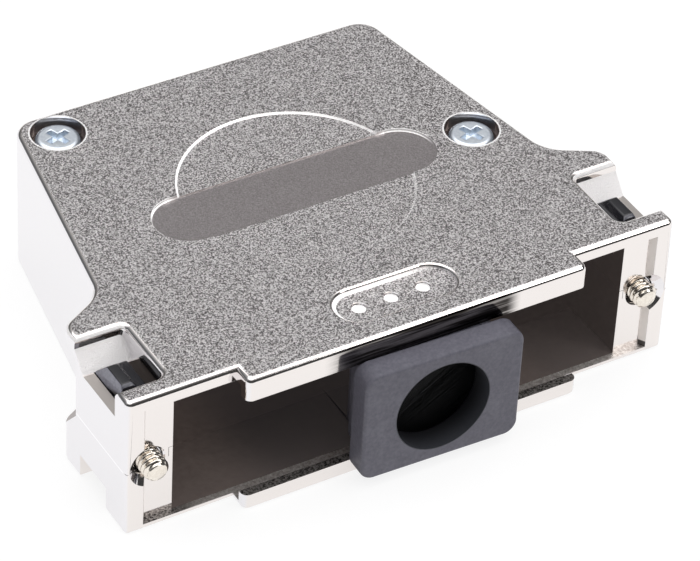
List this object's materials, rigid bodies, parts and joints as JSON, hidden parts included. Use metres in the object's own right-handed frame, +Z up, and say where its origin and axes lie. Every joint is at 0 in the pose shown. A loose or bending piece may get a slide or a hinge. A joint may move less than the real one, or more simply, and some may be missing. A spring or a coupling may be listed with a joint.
{
  "type": "d-sub hood",
  "caption": "Two-shell die-cast hood for a wide d-sub connector, with a captive jackscrew in each ear and a rubber cable grommet resting in its mouth.",
  "frame": {"origin": "middle of the mating face, level with the two jackscrew axes", "axes": "+X along the mating face to the right seen from the connector, +Y to the rear of the hood, +Z up through the upper shell"},
  "size_m": [0.0674, 0.0541, 0.018],
  "materials": {
    "nickel_cast": "satin, textured nickel plate",
    "zinc_steel": "bright zinc plate",
    "black_plastic": "gloss",
    "grommet_rubber": "matt"
  },
  "bodies": {
    "hood": {"upper_shell": "nickel_cast", "lower_shell": "nickel_cast", "rear_left_screw": "zinc_steel", "middle_right_screw": "zinc_steel", "grommet": "grommet_rubber"},
    "left_block": {"left_screw_block": "black_plastic"},
    "right_block": {"right_screw_block": "black_plastic"},
    "left_screw": {"left_jackscrew": "zinc_steel"},
    "right_screw": {"right_jackscrew": "zinc_steel"}
  },
  "joints": [
    {"name": "left_block_slide", "type": "slide", "parent": "hood", "child": "left_block", "axis": [0, -1, 0], "range_m": [0, 0.0018]},
    {"name": "right_block_slide", "type": "slide", "parent": "hood", "child": "right_block", "axis": [0, -1, 0], "range_m": [0, 0.0018]},
    {"name": "left_screw_turn", "type": "hinge", "parent": "left_block", "child": "left_screw", "pos_m": [-0.03055, 0, 0], "axis": [0, -1, 0], "continuous": true},
    {"name": "right_screw_turn", "type": "hinge", "parent": "right_block", "child": "right_screw", "pos_m": [0.03055, 0, 0], "axis": [0, -1, 0], "continuous": true}
  ]
}
